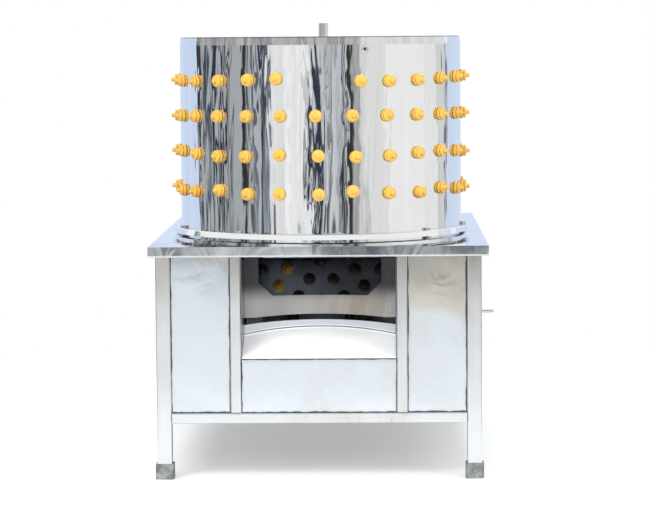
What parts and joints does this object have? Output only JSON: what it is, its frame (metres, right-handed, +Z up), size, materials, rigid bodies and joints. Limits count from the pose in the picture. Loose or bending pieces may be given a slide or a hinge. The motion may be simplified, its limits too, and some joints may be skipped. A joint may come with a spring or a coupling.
{
  "type": "drum poultry plucker",
  "caption": "Open-top drum lined with rubber fingers on a square-tube table, with a belt-driven finger disc in its base, a front feather chute and a push-button switch.",
  "frame": {"origin": "middle of the table's outline at the floor, under the soles of the feet", "axes": "+X to the right seen from the chute side, +Y from the chute side to the back, +Z up"},
  "size_m": [0.5865, 0.82, 0.778],
  "materials": {
    "polished_sheet": "mirror polished, slightly wavy",
    "satin_sheet": "bright rolled, slightly dented",
    "tube_steel": "satin polished",
    "foot_rubber": "matt",
    "zinc_steel": "zinc plated",
    "finger_rubber": "satin",
    "turned_steel": "turned",
    "cast_iron": "painted",
    "belt_rubber": "matt",
    "plate_steel": "satin paint",
    "motor_paint": "satin paint",
    "black_plastic": "matt",
    "green_plastic": "gloss",
    "red_plastic": "gloss"
  },
  "bodies": {
    "frame": {"front_left_leg": "tube_steel", "front_right_leg": "tube_steel", "rear_left_leg": "tube_steel", "rear_right_leg": "tube_steel", "feet": "foot_rubber", "front_rail": "tube_steel", "rear_rail": "tube_steel", "side_rails": "tube_steel", "front_posts": "tube_steel", "top_rails": "tube_steel", "mid_rails": "tube_steel", "drive_beams": "tube_steel", "motor_beams": "tube_steel", "table_top": "polished_sheet", "front_left_panel": "satin_sheet", "front_right_panel": "satin_sheet", "front_lower_panel": "satin_sheet", "left_panel": "satin_sheet", "right_panel": "satin_sheet", "rear_panel": "satin_sheet", "chute_floor": "satin_sheet", "chute_sides": "satin_sheet", "chute_back": "satin_sheet", "feather_slide": "satin_sheet", "chamber_wall": "satin_sheet", "drum": "polished_sheet", "base_ring": "polished_sheet", "flange_spacers": "zinc_steel", "drum_bolts": "zinc_steel", "drum_fingers_1": "finger_rubber", "drum_fingers_2": "finger_rubber", "drum_fingers_3": "finger_rubber", "drum_fingers_4": "finger_rubber", "water_pipe": "zinc_steel", "bearing_housing": "cast_iron", "bearings": "turned_steel", "housing_cap": "cast_iron", "housing_bolts": "zinc_steel", "drive_belts": "belt_rubber", "motor_plate": "plate_steel", "motor_bolts": "zinc_steel", "motor_shield": "motor_paint", "motor_housing": "motor_paint", "fan_cover": "motor_paint", "terminal_box": "motor_paint", "switch_box": "black_plastic", "cable_gland": "black_plastic", "earth_stud": "zinc_steel"},
    "rotor": {"rotor_disc": "polished_sheet", "disc_fingers": "finger_rubber", "disc_hub": "turned_steel", "hub_fasteners": "zinc_steel", "main_shaft": "turned_steel", "driven_pulley": "cast_iron", "shaft_keys": "turned_steel"},
    "motor_rotor": {"motor_shaft": "turned_steel", "motor_fan": "black_plastic", "drive_pulley": "cast_iron"},
    "start_button": {"start_button": "green_plastic"},
    "stop_button": {"stop_button": "red_plastic"}
  },
  "joints": [
    {"name": "rotor_spin", "type": "hinge", "parent": "frame", "child": "rotor", "pos_m": [0, -0.138, 0], "axis": [0, 0, 1], "continuous": true},
    {"name": "motor_spin", "type": "hinge", "parent": "frame", "child": "motor_rotor", "pos_m": [0, 0.215, 0], "axis": [0, 0, 1], "continuous": true},
    {"name": "start_press", "type": "slide", "parent": "frame", "child": "start_button", "axis": [1, 0, 0], "range_m": [0, 0.004], "stiffness_N_per_m": 400},
    {"name": "stop_press", "type": "slide", "parent": "frame", "child": "stop_button", "axis": [1, 0, 0], "range_m": [0, 0.004], "stiffness_N_per_m": 400}
  ],
  "couplings": [
    {"joint": "motor_spin", "follows": "rotor_spin", "ratio": 4}
  ]
}
